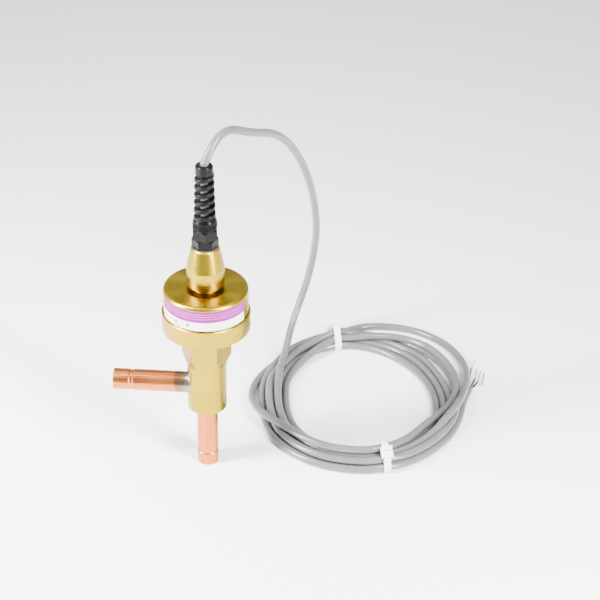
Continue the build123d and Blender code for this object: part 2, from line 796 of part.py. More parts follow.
SPIRAL_BAND = 3.0
SPIRAL_DEPTH = 3.4
spiral_height = SPIRAL_TOP - SPIRAL_BOTTOM
spiral_low_r = 5.45
spiral_high_r = 4.45
spiral_lean = degrees(acos(spiral_height / hypot(spiral_height, spiral_low_r - spiral_high_r)))
with BuildPart() as gland_nut:
    add(chamfered_hex(GLAND_NUT_CORNER_R, gland_turn + 30, GLAND_NUT_BOTTOM, GLAND_NUT_HEX_TOP, 0.4, 1.6))
    add(turned([
        (0, GLAND_NUT_HEX_TOP),
        (GLAND_SHOULDER_R, GLAND_NUT_HEX_TOP),
        (GLAND_SHOULDER_R, GLAND_SHOULDER_TOP - 2.6),
        (GLAND_SHOULDER_R - 0.5, GLAND_SHOULDER_TOP - 0.9),
        (GLAND_SHOULDER_R - 1.5, GLAND_SHOULDER_TOP),
        (0, GLAND_SHOULDER_TOP),
    ]))
    with BuildLine(mode=Mode.PRIVATE) as spiral_line:
        Helix(
            pitch=SPIRAL_PITCH,
            height=spiral_height,
            radius=spiral_low_r,
            center=(0, 0, SPIRAL_BOTTOM),
            cone_angle=-spiral_lean,
        )
    spiral_start = spiral_line.line @ 0
    with BuildSketch(Plane(origin=spiral_start, x_dir=(1, 0, 0), z_dir=(0, 1, 0))) as spiral_section:
        RectangleRounded(SPIRAL_DEPTH, SPIRAL_BAND, 0.7)
    sweep(path=spiral_line.line, is_frenet=True)
    add(turned([
        (0, COLLAR_BOTTOM),
        (COLLAR_R - 0.4, COLLAR_BOTTOM),
        (COLLAR_R, COLLAR_BOTTOM + 0.4),
        (COLLAR_R, CORD_EXIT - 0.8),
        (COLLAR_R - 0.6, CORD_EXIT),
        (0, CORD_EXIT),
    ]))
    add(ring(0, 5.7, GLAND_NUT_BOTTOM, 184.8), mode=Mode.SUBTRACT)
    add(ring(0, CORD_R + 0.03, 184.0, CORD_EXIT + 1), mode=Mode.SUBTRACT)
save(gland_nut.part, "gland_nut")

with BuildPart() as cable_entry:
    add(ring(0, CORD_R, JACKET_BOTTOM, CORD_EXIT))
save(cable_entry.part, "cable_entry")

# ---- free cable ---------------------------------------------------------------------------
cord_route = [
    (0, 0, CORD_EXIT),
    (2.5, 2.0, 236.3),
    (5.6, 6.5, 241.5),
    (10.1, 13.0, 245.6),
    (16.0, 20.5, 244.8),
    (23.5, 28.0, 239.4),
    (31.0, 37.0, 234.5),
    (38.7, 48.0, 229.3),
    (46.4, 62.0, 217.8),
    (54.2, 79.0, 197.8),
    (60.6, 97.0, 171.4),
    (64.8, 114.0, 141.2),
    (66.2, 130.0, 109.2),
    (62.8, 145.0, 74.5),
    (57.2, 150.5, 46.1),
    (48.9, 138.0, 24.1),
    (45.5, 113.0, 13.0),
]
with BuildPart() as cable:
    add(tube(cord_route, CORD_R, "cable"))
save(cable.part, "cable")

# Outer shape of the coil: (angle, inner radius, outer radius) about its middle.
coil_shape = [
    (0, 51.5, 79),
    (25, 50.5, 86),
    (55, 53.5, 101.5),
    (80, 60.5, 99.5),
    (105.5, 62.5, 86),
    (150, 55.0, 72.5),
    (185, 50.5, 81),
    (225, 59.5, 82),
    (260, 63.5, 87),
    (285, 63.5, 86),
    (310, 59.0, 81),
    (335, 53.5, 79),
]
with BuildPart() as cable_coil:
    with BuildSketch() as coil_plan:
        with BuildLine():
            Spline(*[polar(outer, a, 0, COIL_CENTRE)[:2] for a, _, outer in coil_shape], periodic=True)
        make_face()
        with BuildLine():
            Spline(*[polar(inner, a, 0, COIL_CENTRE)[:2] for a, inner, _ in coil_shape], periodic=True)
        make_face(mode=Mode.SUBTRACT)
    extrude(amount=COIL_TOP)
    chamfer(cable_coil.faces().sort_by(Axis.Z)[-1].edges(), length=4.0)
save(cable_coil.part, "cable_coil")


def cable_tie(angle, inner, outer, head_r, head_z):
    """A nylon tie round the bundle, with its head's middle at radius head_r and height head_z."""
    middle = (inner + outer) / 2
    spot = polar(middle, angle, 0, COIL_CENTRE)
    plane = radial_plane(angle, spot)
    width = outer - inner
    across = head_r - middle
    with BuildPart() as tie:
        with BuildSketch(plane):
            with Locations((0, COIL_TOP / 2 + TIE_THICK / 2)):
                RectangleRounded(width + 2 * TIE_THICK, COIL_TOP + TIE_THICK, 5.5)
                RectangleRounded(width, COIL_TOP - TIE_THICK, 4.3, mode=Mode.SUBTRACT)
        extrude(amount=TIE_WIDTH / 2, both=True)
        with BuildSketch(plane):
            with Locations((across, head_z)):
                RectangleRounded(8.0, 5.2, 0.8)
        extrude(amount=4.0, both=True)
        with BuildSketch(plane):
            with Locations((across + 5.4, head_z - 0.5)):
                Rectangle(3.2, TIE_THICK)
        extrude(amount=TIE_WIDTH / 2, both=True)
    return tie.part


save(cable_tie(TIE_BACK_ANGLE, 62.5, 86.0, 89.0, 4.6), "cable_tie_back")
save(cable_tie(TIE_FRONT_ANGLE, 63.5, 86.0, 80.0, 19.6), "cable_tie_front")

# ---- loose end of the cable ---------------------------------------------------------------
TAIL_END = (183.0, 94.0, 3.2)
tail_route = [(176, 62, 2.9), (180, 73, 2.9), (182.6, 84, 3.1), TAIL_END]
with BuildPart() as cable_tail:
    add(tube(tail_route, CORD_R, "cable_tail"))
save(cable_tail.part, "cable_tail")

# Each core: where it leaves the jacket, a bend, where its insulation stops, the bare tip's end.
cores = {
    "green": [(182.2, 94, 4.1), (182.9, 104, 4.6), (184.9, 119, 3.4), (187.9, 131.0, 3.0)],
    "red": [(183.9, 94, 4.1), (185.2, 99, 4.3), (187.2, 105.3, 4.2), (189.2, 119.5, 3.4)],
    "black": [(183.9, 94, 2.5), (186.4, 98.4, 2.7), (189.4, 103.6, 2.6), (192.0, 118.0, 2.2)],
    "white": [(182.2, 94, 2.3), (185.2, 96.8, 0.9), (192.2, 101.0, 1.0), (194.6, 117.6, 1.0)],
}
tips = []
for colour, (root, bend, strip, tip) in cores.items():
    save(tube([root, bend, strip], WIRE_R), f"wire_{colour}")
    with BuildPart() as bare_tip:
        with BuildSketch(Plane(origin=strip, z_dir=Vector(*tip) - Vector(*strip))):
            Circle(TIP_R)
        extrude(amount=(Vector(*tip) - Vector(*strip)).length)
    tips.append(bare_tip.part)
with BuildPart() as wire_tips:
    for tip_part in tips:
        add(tip_part)
save(wire_tips.part, "wire_tips")
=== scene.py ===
"""Looks of an angle-pattern electric expansion valve: materials, label, cable, ties, light, camera."""
import json
import math
import random

import bmesh
import bpy
from mathutils import Matrix, Vector


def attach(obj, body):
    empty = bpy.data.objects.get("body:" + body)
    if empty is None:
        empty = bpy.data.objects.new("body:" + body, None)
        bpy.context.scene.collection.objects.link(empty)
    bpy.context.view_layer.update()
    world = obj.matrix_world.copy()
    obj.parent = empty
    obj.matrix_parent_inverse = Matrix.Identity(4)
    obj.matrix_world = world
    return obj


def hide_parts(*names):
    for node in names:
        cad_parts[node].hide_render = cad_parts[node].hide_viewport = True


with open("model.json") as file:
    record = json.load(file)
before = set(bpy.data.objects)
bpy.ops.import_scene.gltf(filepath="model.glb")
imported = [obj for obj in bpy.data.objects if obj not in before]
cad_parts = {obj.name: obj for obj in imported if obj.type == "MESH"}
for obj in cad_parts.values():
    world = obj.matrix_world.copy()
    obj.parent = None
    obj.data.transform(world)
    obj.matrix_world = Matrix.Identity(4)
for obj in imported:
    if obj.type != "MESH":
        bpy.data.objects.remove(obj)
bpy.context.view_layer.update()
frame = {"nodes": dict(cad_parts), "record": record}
nodes = frame["nodes"]
MM = 0.001

# ---- cable facts, in millimetres but for the length ---------------------------------------
CORD_DIAMETER = 5.4
BOTTOM = 2.7        # height of a turn that lies on the floor
MIDDLE = 7.4        # height of a turn in the second layer
TIED_BOTTOM = 4.0   # the same two layers where a tie passes under the bundle
TIED_MIDDLE = 8.7
COIL_CENTRE = (102.0, 76.0)
FREE_ROUTE = [
    (0, 0, 229.8),
    (2.5, 2.0, 236.3),
    (5.6, 6.5, 241.5),
    (10.1, 13.0, 245.6),
    (16.0, 20.5, 244.8),
    (23.5, 28.0, 239.4),
    (31.0, 37.0, 234.5),
    (38.7, 48.0, 229.3),
    (46.4, 62.0, 217.8),
    (54.2, 79.0, 197.8),
    (60.6, 97.0, 171.4),
    (64.8, 114.0, 141.2),
    (66.2, 130.0, 109.2),
    (62.8, 145.0, 74.5),
    (57.2, 150.5, 46.1),
    (48.9, 138.0, 24.1),
    (45.5, 113.0, 13.0),
]
CORD_END = (183.0, 94.0, 3.2)

# Where each of the seven turns lies, station by station round the coil: the station's angle in
# degrees, then a radius and a height for every turn, from the first wound to the last. A turn has
# no entry where the cable hasn't reached the coil yet or has left it.
LANES = [
    (150, None, (73.4, BOTTOM), (57.4, BOTTOM), (62.8, BOTTOM),
     (68.0, BOTTOM), (65.3, MIDDLE), (70.7, MIDDLE)),
    (168, (60.3, 12.0), (77.0, BOTTOM), (54.6, BOTTOM), (60.0, BOTTOM),
     (65.5, BOTTOM), (65.9, 7.9), (71.4, 3.6)),
    (185, (58.4, 8.1), (78.2, 3.4), (52.5, BOTTOM), (57.9, BOTTOM),
     (63.3, BOTTOM), (65.0, 8.2), (70.0, BOTTOM)),
    (205, (61.5, 7.8), (76.9, 11.2), (54.9, BOTTOM), (60.3, BOTTOM),
     (65.7, BOTTOM), (67.5, 7.9), (73.0, BOTTOM)),
    (225, (67.8, MIDDLE), (71.4, 13.0), (60.3, BOTTOM), (65.7, BOTTOM),
     (71.2, BOTTOM), (75.0, 7.1), (78.8, BOTTOM)),
    (250, (73.2, MIDDLE), (74.6, 12.7), (65.2, BOTTOM), (70.6, BOTTOM),
     (76.0, BOTTOM), (79.3, 7.2), (83.0, BOTTOM)),
    (272, (74.2, MIDDLE), (74.6, 12.8), (66.2, BOTTOM), (71.6, BOTTOM),
     (77.0, BOTTOM), (79.7, 7.5), (83.5, BOTTOM)),
    (285, (74.4, TIED_MIDDLE), (73.6, 13.7), (66.4, TIED_BOTTOM), (71.8, TIED_BOTTOM),
     (77.2, TIED_BOTTOM), (79.9, TIED_MIDDLE), (82.6, TIED_BOTTOM)),
    (300, (72.0, MIDDLE), (67.0, 11.3), (63.6, BOTTOM), (69.0, BOTTOM),
     (74.4, BOTTOM), (77.4, MIDDLE), (79.8, BOTTOM)),
    (320, (68.7, 7.6), (58.8, 8.1), (60.4, BOTTOM), (65.9, BOTTOM),
     (71.4, BOTTOM), (74.2, MIDDLE), (77.0, BOTTOM)),
    (337, (69.9, 13.2), (60.8, 8.6), (58.6, BOTTOM), (64.1, BOTTOM),
     (69.6, BOTTOM), (72.6, 7.6), (75.3, BOTTOM)),
    (350, (72.6, 12.8), (65.4, 7.8), (56.6, BOTTOM), (62.4, BOTTOM),
     (68.2, BOTTOM), (71.4, 7.2), (74.4, BOTTOM)),
    (363, (75.6, 9.6), (69.4, 8.3), (55.0, BOTTOM), (60.4, BOTTOM),
     (65.8, BOTTOM), (70.8, 3.0), (75.8, 2.9)),
    (375, (80.8, 8.0), (73.6, 8.1), (54.2, BOTTOM), (59.8, BOTTOM),
     (65.3, BOTTOM), (72.2, BOTTOM)),
    (392, (91.5, 3.3), (76.2, 8.1), (54.8, BOTTOM), (60.6, BOTTOM),
     (66.4, BOTTOM), (76.0, BOTTOM)),
    (410, (98.8, BOTTOM), (80.0, 8.1), (56.6, BOTTOM), (64.6, BOTTOM),
     (71.0, BOTTOM), (79.4, BOTTOM)),
    (428, (100.2, BOTTOM), (79.2, 7.7), (60.8, BOTTOM), (68.6, BOTTOM),
     (74.2, BOTTOM), (81.4, BOTTOM)),
    (446, (95.4, BOTTOM), (71.4, 9.2), (65.4, BOTTOM), (71.0, BOTTOM),
     (76.4, 4.2), (82.2, BOTTOM)),
    (457, (88.0, BOTTOM), (69.6, 8.2), (67.2, BOTTOM), (72.7, BOTTOM),
     (75.2, 9.6), (79.8, 5.4)),
    (465.5, (79.2, TIED_BOTTOM), (70.6, TIED_MIDDLE), (67.9, TIED_BOTTOM), (73.3, TIED_BOTTOM),
     (73.4, 13.2), (76.2, TIED_MIDDLE)),
    (478, (77.8, BOTTOM), (64.2, 7.9), (67.0, BOTTOM), (72.3, BOTTOM),
     (69.9, 9.5), (75.2, MIDDLE)),
    (494, (76.5, BOTTOM), (60.3, 4.4), (65.8, BOTTOM), (71.1, BOTTOM),
     (68.5, 7.5), (73.9, 7.4)),
]
TURNS = 7


# ---- small helpers ------------------------------------------------------------------------
def metres(point):
    return Vector(point) * MM


def polar(radius, angle, z=0.0, centre=(0.0, 0.0)):
    """A point in millimetres at a radius and an angle in degrees about a centre."""
    a = math.radians(angle)
    return Vector((centre[0] + radius * math.cos(a), centre[1] + radius * math.sin(a), z))


def link(obj, material):
    """Puts a piece in the scene: it rides on the valve's fixed body and gets its slot and material."""
    bpy.context.scene.collection.objects.link(obj)
    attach(obj, "valve")
    obj.data.materials.append(material)
    return obj


def mesh_piece(name, vertices, faces, material, smooth=False):
    mesh = bpy.data.meshes.new(name)
    mesh.from_pydata([tuple(v) for v in vertices], [], faces)
    mesh.validate()
    for face in mesh.polygons:
        face.use_smooth = smooth
    return link(bpy.data.objects.new(name, mesh), material)


def round_curve(name, cuts_around, cuts_along):
    """An empty curve with a round section, whose radius comes from its points."""
    data = bpy.data.curves.new(name, "CURVE")
    data.dimensions = "3D"
    data.bevel_depth = 1.0
    data.bevel_resolution = cuts_around
    data.resolution_u = cuts_along
    data.use_fill_caps = True
    return data


def add_line(data, points, radius):
    """Adds a smooth open NURBS line; its control points and radius are in millimetres."""
    spline = data.splines.new("NURBS")
    spline.points.add(len(points) - 1)
    for spot, point in zip(spline.points, points):
        spot.co = (*metres(point), 1.0)
        spot.radius = radius * MM
    spline.order_u = 3
    spline.use_endpoint_u = True


# ---- camera and light ---------------------------------------------------------------------
CAMERA_PLACE = Vector((0.1031, -0.8962, 0.7124))
CAMERA_PITCH = 32.81
CAMERA_YAW = 2.68
CAMERA_ROLL = 1.27
CAMERA_LENS = 99.0
CAMERA_SENSOR = 36.0
CAMERA_CLIP_START = 0.05

WORLD_STRENGTH = 0.8
FLOOR_HALF = 4.0
FLOOR_COLOUR = (0.95, 0.95, 0.95, 1)
# name, place, aim, width and height, watts
LAMPS = [
    ("key", (-0.46, -0.19, 0.40), (0.0, 0.0, 0.10), (0.10, 0.76), 32),
    ("fill", (0.46, -0.34, 0.40), (0.0, 0.0, 0.10), (0.07, 0.78), 24),
    ("top", (0.1, 0.5, 1.6), (0.06, 0.1, 0.0), (1.6, 1.0), 9),
]


def make_camera():
    camera = bpy.data.objects.new("camera", bpy.data.cameras.new("camera"))
    bpy.context.scene.collection.objects.link(camera)
    camera.data.lens = CAMERA_LENS
    camera.data.sensor_width = CAMERA_SENSOR
    camera.data.clip_start = CAMERA_CLIP_START
    camera.location = CAMERA_PLACE
    turn = Matrix.Rotation(math.radians(CAMERA_YAW), 4, "Z")
    tilt = Matrix.Rotation(math.radians(90 - CAMERA_PITCH), 4, "X")
    roll = Matrix.Rotation(math.radians(CAMERA_ROLL), 4, "Z")
    camera.rotation_euler = (turn @ tilt @ roll).to_euler()
    bpy.context.scene.camera = camera


def area_light(name, place, aim, size, power):
    data = bpy.data.lights.new(name, "AREA")
    data.shape = "RECTANGLE"
    data.size, data.size_y = size
    data.energy = power
    lamp = bpy.data.objects.new(name, data)
    bpy.context.scene.collection.objects.link(lamp)
    lamp.location = place
    lamp.visible_camera = False
    lamp.rotation_euler = (Vector(aim) - Vector(place)).to_track_quat("-Z", "Y").to_euler()


def make_floor():
    mesh = bpy.data.meshes.new("floor")
    corners = [(x * FLOOR_HALF, y * FLOOR_HALF, 0) for x, y in ((-1, -1), (1, -1), (1, 1), (-1, 1))]
    mesh.from_pydata(corners, [], [(0, 1, 2, 3)])
    floor = bpy.data.objects.new("floor", mesh)
    bpy.context.scene.collection.objects.link(floor)
    material = bpy.data.materials.new("floor_white")
    material.use_nodes = True
    shader = material.node_tree.nodes["Principled BSDF"]
    shader.inputs["Base Color"].default_value = FLOOR_COLOUR
    shader.inputs["Roughness"].default_value = 0.9
    shader.inputs["Specular IOR Level"].default_value = 0.0
    mesh.materials.append(material)


def make_studio():
    world = bpy.data.worlds.new("studio")
    world.use_nodes = True
    background = world.node_tree.nodes["Background"]
    background.inputs["Color"].default_value = (1, 1, 1, 1)
    background.inputs["Strength"].default_value = WORLD_STRENGTH
    bpy.context.scene.world = world
    make_floor()
    for lamp in LAMPS:
        area_light(*lamp)


# ---- materials ----------------------------------------------------------------------------
class Shade:
    """Builds one procedural material round a Principled shader."""

    def __init__(self, name, colour, metallic=0.0, roughness=0.5):
        self.material = bpy.data.materials.new(name)
        self.material.use_nodes = True
        self.tree = self.material.node_tree
        self.shader = self.tree.nodes["Principled BSDF"]
        self.shader.inputs["Base Color"].default_value = (*colour, 1)
        self.shader.inputs["Metallic"].default_value = metallic
        self.shader.inputs["Roughness"].default_value = roughness
        self.place = self.tree.nodes.new("ShaderNodeTexCoord").outputs["Object"]

    def node(self, kind, **values):
        made = self.tree.nodes.new(kind)
        for key, value in values.items():
            setattr(made, key, value)
        return made

    def join(self, source, target):
        self.tree.links.new(source, target)

    def math(self, operation, *values):
        """A math node; each value is a number or a socket."""
        made = self.node("ShaderNodeMath", operation=operation)
        for socket, value in zip(made.inputs, values):
            if isinstance(value, (int, float)):
                socket.default_value = value
            else:
                self.join(value, socket)
        return made.outputs[0]

    def noise(self, scale, detail, stretch=(1, 1, 1), place=None):
        """Noise with scale cells per metre, over the object's own coordinates or another place socket."""
        mapping = self.node("ShaderNodeMapping")
        mapping.inputs["Scale"].default_value = stretch
        self.join(place or self.place, mapping.inputs["Vector"])
        made = self.node("ShaderNodeTexNoise")
        made.inputs["Scale"].default_value = scale
        made.inputs["Detail"].default_value = detail
        self.join(mapping.outputs[0], made.inputs["Vector"])
        return made.outputs["Fac"]

    def spread(self, source, low, high, start=0.35, stop=0.65):
        """Maps a value from start..stop to low..high."""
        made = self.node("ShaderNodeMapRange")
        for key, value in (("From Min", start), ("From Max", stop), ("To Min", low), ("To Max", high)):
            made.inputs[key].default_value = value
        self.join(source, made.inputs["Value"])
        return made.outputs[0]

    def blend(self, fac, a, b):
        """Mixes two colours; each is a tuple or a colour socket."""
        made = self.node("ShaderNodeMix", data_type="RGBA")
        self.join(fac, made.inputs["Factor"])
        for socket, value in ((made.inputs[6], a), (made.inputs[7], b)):
            if isinstance(value, tuple):
                socket.default_value = (*value, 1)
            else:
                self.join(value, socket)
        return made.outputs[2]

    def colour(self, source):
        self.join(source, self.shader.inputs["Base Color"])

    def vary_roughness(self, source, low, high):
        self.join(self.spread(source, low, high), self.shader.inputs["Roughness"])

    def bump(self, height, strength, distance):
        made = self.node("ShaderNodeBump")
        made.inputs["Strength"].default_value = strength
        made.inputs["Distance"].default_value = distance
        self.join(height, made.inputs["Height"])
        self.join(made.outputs[0], self.shader.inputs["Normal"])

    def split(self):
        """The X, Y and Z sockets of a point on the surface."""
        made = self.node("ShaderNodeSeparateXYZ")
        self.join(self.place, made.inputs[0])
        return made.outputs


def metal(name, light, dark, roughness, lines, line_scale, line_depth):
    """Metal with slow tone changes and fine tool or drawing lines, long where lines is small."""
    shade = Shade(name, light, metallic=1.0, roughness=roughness)
    slow = shade.noise(45.0, 3.0)
    fine = shade.noise(line_scale, 4.0, lines)
    shade.colour(shade.blend(shade.spread(slow, 0.0, 1.0), light, dark))
    shade.vary_roughness(fine, roughness * 0.75, roughness * 1.35)
    shade.bump(fine, line_depth, 0.00004)
    return shade


def turned_metal(name, light, dark, roughness, anisotropy, line_depth):
    """Metal from the lathe: rings round the Z axis, and highlights drawn out across them."""
    shade = Shade(name, light, metallic=1.0, roughness=roughness)
    x, y, z = shade.split()
    out = shade.math("SQRT", shade.math("ADD", shade.math("MULTIPLY", x, x), shade.math("MULTIPLY", y, y)))
    rings_at = shade.node("ShaderNodeCombineXYZ")
    shade.join(out, rings_at.inputs[0])
    shade.join(z, rings_at.inputs[2])
    rings = shade.noise(6500.0, 3.0, place=rings_at.outputs[0])
    slow = shade.noise(38.0, 3.0)
    shade.colour(shade.blend(shade.spread(slow, 0.0, 1.0), light, dark))
    shade.vary_roughness(rings, roughness * 0.8, roughness * 1.25)
    shade.bump(rings, line_depth, 0.00005)
    shade.shader.inputs["Anisotropic"].default_value = anisotropy
    along = shade.node("ShaderNodeTangent", direction_type="RADIAL", axis="Z")
    shade.join(along.outputs[0], shade.shader.inputs["Tangent"])
    return shade


# The inlet stub's inner end is covered with grey filler up to a ragged edge.
COPPER_LIGHT = (0.60, 0.185, 0.052)
COPPER_DARK = (0.50, 0.145, 0.038)
FILLER_LIGHT = (0.24, 0.185, 0.125)
FILLER_DARK = (0.13, 0.095, 0.06)
FILLER_FROM = -0.0213   # X in metres where the filler begins
FILLER_FULL = -0.0203   # X in metres where it covers the copper
FILLER_RAGGED = 0.004   # how far the edge strays, in metres


def drawn_copper(name, axis):
    """Copper tube with drawing lines along an axis: 0 is X, the inlet, and 2 is Z, the outlet."""
    shade = Shade(name, COPPER_LIGHT, metallic=1.0, roughness=0.3)
    stretch = tuple(0.06 if i == axis else 1.0 for i in range(3))
    lines = shade.noise(900.0, 3.0, stretch)
    bands = shade.noise(160.0, 2.0, stretch)
    slow = shade.noise(60.0, 2.0)
    copper = shade.blend(shade.spread(bands, 0.0, 0.7), COPPER_LIGHT, COPPER_DARK)
    if axis == 0:
        x = shade.split()[0]
        ragged = shade.math("MULTIPLY", shade.math("SUBTRACT", slow, 0.5), FILLER_RAGGED)
        edge = shade.math("ADD", x, ragged)
        covered = shade.spread(edge, 0.0, 0.85, FILLER_FROM, FILLER_FULL)
        filler = shade.blend(shade.spread(slow, 0.0, 1.0, 0.4, 0.6), FILLER_LIGHT, FILLER_DARK)
        copper = shade.blend(covered, copper, filler)
    shade.colour(copper)
    shade.vary_roughness(lines, 0.24, 0.36)
    shade.bump(lines, 0.12, 0.00004)
    return shade


def moulded(name, colour, other, roughness, grain=1400.0, depth=0.12):
    """Moulded plastic, rubber or ink: slight mottling and a fine skin texture."""
    shade = Shade(name, colour, roughness=roughness)
    slow = shade.noise(70.0, 2.0)
    skin = shade.noise(grain, 3.0)
    shade.colour(shade.blend(shade.spread(slow, 0.0, 1.0), colour, other))
    shade.vary_roughness(skin, roughness * 0.85, roughness * 1.2)
    shade.bump(skin, depth, 0.00003)
    return shade


# light tone, dark tone, roughness, anisotropy, depth of the lathe's lines
TURNED_METALS = {
    "polished_brass": ((0.39, 0.272, 0.012), (0.35, 0.24, 0.009), 0.22, 0.9, 0.4),
    "seat_brass": ((0.42, 0.28, 0.04), (0.36, 0.235, 0.03), 0.32, 0.5, 0.2),
}
ALL_WAYS = (1, 1, 1)
ROUND_Z = (1, 1, 14)
# light tone, dark tone, roughness, stretch of the fine lines, their scale, their depth
METALS = {
    "braze_filler": ((0.34, 0.31, 0.26), (0.13, 0.11, 0.08), 0.28, ALL_WAYS, 260, 0.6),
    "steel": ((0.66, 0.66, 0.68), (0.58, 0.58, 0.60), 0.24, ROUND_Z, 900, 0.15),
    "stator_steel": ((0.60, 0.60, 0.57), (0.50, 0.50, 0.49), 0.33, ALL_WAYS, 300, 0.2),
    "gear_brass": ((0.84, 0.66, 0.33), (0.76, 0.58, 0.27), 0.26, ALL_WAYS, 700, 0.15),
    "nut_bronze": ((0.74, 0.52, 0.31), (0.65, 0.45, 0.26), 0.3, ROUND_Z, 700, 0.2),
    "tinned_copper": ((0.24, 0.22, 0.20), (0.16, 0.13, 0.11), 0.3, (8, 1, 8), 1500, 0.6),
    "enamelled_wire": ((0.62, 0.24, 0.09), (0.48, 0.16, 0.06), 0.3, (1, 1, 20), 400, 0.6),
}
# one tone, other tone, roughness, then the skin's grain and depth where they aren't the usual ones
MOULDED = {
    "magnet": ((0.035, 0.035, 0.038), (0.06, 0.06, 0.062), 0.55, 600, 0.3),
    "black_nylon": ((0.002, 0.002, 0.0022), (0.004, 0.004, 0.0045), 0.3),
    "black_rubber": ((0.012, 0.012, 0.012), (0.022, 0.022, 0.022), 0.6),
    "cable_jacket": ((0.105, 0.104, 0.107), (0.118, 0.117, 0.12), 0.2, 500, 0.02),
    "tie_nylon": ((0.86, 0.85, 0.80), (0.80, 0.79, 0.73), 0.42),
    "inner_plastic": ((0.78, 0.75, 0.66), (0.70, 0.67, 0.58), 0.45),
    "inner_leads": ((0.75, 0.55, 0.08), (0.65, 0.46, 0.06), 0.4),
    "potting": ((0.02, 0.02, 0.022), (0.035, 0.035, 0.038), 0.25),
    "green_insulation": ((0.008, 0.12, 0.055), (0.012, 0.15, 0.07), 0.4),
    "red_insulation": ((0.11, 0.002, 0.010), (0.14, 0.003, 0.014), 0.4),
    "black_insulation": ((0.012, 0.012, 0.013), (0.02, 0.02, 0.02), 0.35),
    "white_insulation": ((0.82, 0.82, 0.79), (0.76, 0.76, 0.72), 0.35),
    "header_glass": ((0.05, 0.16, 0.13), (0.04, 0.12, 0.10), 0.12),
    "printed_label": ((0.23, 0.0005, 0.185), (0.215, 0.0005, 0.17), 0.45),
    "label_white": ((0.90, 0.90, 0.90), (0.86, 0.86, 0.86), 0.35),
    "label_pale_ink": ((0.46, 0.10, 0.38), (0.42, 0.085, 0.34), 0.45),
    "label_grey_ink": ((0.05, 0.05, 0.055), (0.08, 0.08, 0.085), 0.45),
}


def make_materials():
    made = {name: turned_metal(name, *values) for name, values in TURNED_METALS.items()}
    made["copper"] = drawn_copper("copper", 2)
    made["copper_inlet"] = drawn_copper("copper_inlet", 0)
    for name, values in METALS.items():
        made[name] = metal(name, *values)
    for name, values in MOULDED.items():
        made[name] = moulded(name, *values)
    made["black_nylon"].shader.inputs["Specular IOR Level"].default_value = 0.09
    made["printed_label"].shader.inputs["Specular IOR Level"].default_value = 0.15
    made["header_glass"].shader.inputs["IOR"].default_value = 1.5
    return {name: shade.material for name, shade in made.items()}


def dress_frame(materials):
    """Gives every carried-over CAD node its slot's material."""
    for part in frame["record"]["subparts"]:
        data = nodes[part["node"]].data
        data.materials.clear()
        data.materials.append(materials[part["material_slot"]])
    nodes["inlet_stub"].data.materials[0] = materials["copper_inlet"]


# ---- cable --------------------------------------------------------------------------------
def coil_points():
    """Control points of the coil's turns.

    Nearest to a control point, a quadratic line is three quarters of that point and an eighth of
    each neighbour, so each point stands a little outside its radius in LANES.
    """
    angles = [lane[0] for lane in LANES]
    around = [angles[-1] - 360] + angles + [angles[0] + 360]
    points = []
    for turn in range(TURNS):
        for k, (angle, *lane) in enumerate(LANES):
            if turn >= len(lane) or lane[turn] is None:
                continue
            radius, height = lane[turn]
            before = angle - around[k]
            after = around[k + 2] - angle
            inside = 0.75 + 0.125 * (math.cos(math.radians(before)) + math.cos(math.radians(after)))
            points.append(polar(radius / inside, angle, height, COIL_CENTRE))
    return points


def make_cable(materials):
    data = round_curve("cable_cord", cuts_around=7, cuts_along=12)
    add_line(data, FREE_ROUTE + coil_points() + [CORD_END], CORD_DIAMETER / 2)
    cable = link(bpy.data.objects.new("cable_cord", data), materials["cable_jacket"])
    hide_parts("cable", "cable_coil", "cable_tail")


# ---- label --------------------------------------------------------------------------------
LABEL_START = -156.4
LABEL_END = -23.4
LABEL_BOTTOM = 124.5
LABEL_SPLIT = 130.75
LABEL_TOP = 138.9
LABEL_BACK = 27.8       # radius of the cap, which the label sticks to
LABEL_FACE = 27.92
PRINT_RADIUS = LABEL_FACE + 0.02
SHEET_STEP = 1.5        # degrees from one cut of the sheet to the next
PRINT_STEP = 2.5

# Plain bars that stand for print, each as (low, high, start, end): heights, then angles.
PALE_ROWS = [
    (136.6, 137.15, -139, -29),
    (134.9, 135.45, -139, -29),
    (133.2, 133.75, -128, -33),
]
PIECE_LENGTHS = (2.0, 7.5)  # degrees
PIECE_GAPS = (0.7, 1.3)
GREY_BARS = [
    (127.2, 129.4, -152.5, -150.9),
    (127.2, 129.4, -150.0, -148.4),
    (127.2, 129.4, -147.5, -145.9),
    (128.1, 128.6, -144.4, -141.6),
    (126.9, 129.3, -136.5, -135.7),
    (128.5, 129.3, -135.7, -133.6),
    (126.9, 129.3, -129.5, -127.4),
    (126.9, 129.3, -126.4, -124.2),
    (128.0, 128.5, -119.6, -113.0),
    (126.9, 129.3, -110.6, -107.2),
    (125.3, 125.9, -132.0, -118.0),
]
RING_DOTS = 16
RING_ANGLE = -146.0
RING_HEIGHT = 134.9
RING_HALF_WIDTH = 4.0   # degrees
RING_HALF_HEIGHT = 2.0
DOT_HALF_WIDTH = 0.7    # degrees
DOT_HALF_HEIGHT = 0.275


def sheet_piece(name, low, high, material):
    """A thin closed sheet on the cap, from height low to high."""
    count = round((LABEL_END - LABEL_START) / SHEET_STEP) + 1
    vertices, faces = [], []
    for k in range(count):
        angle = LABEL_START + (LABEL_END - LABEL_START) * k / (count - 1)
        for radius, height in ((LABEL_BACK, low), (LABEL_FACE, low), (LABEL_FACE, high), (LABEL_BACK, high)):
            vertices.append(metres(polar(radius, angle, height)))
    for k in range(count - 1):
        a = 4 * k
        for i in range(4):
            j = (i + 1) % 4
            faces.append((a + i, a + 4 + i, a + 4 + j, a + j))
    last = 4 * (count - 1)
    faces.append((0, 1, 2, 3))
    faces.append((last + 3, last + 2, last + 1, last))
    sheet = mesh_piece(name, vertices, faces, material)
    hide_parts("housing_label")


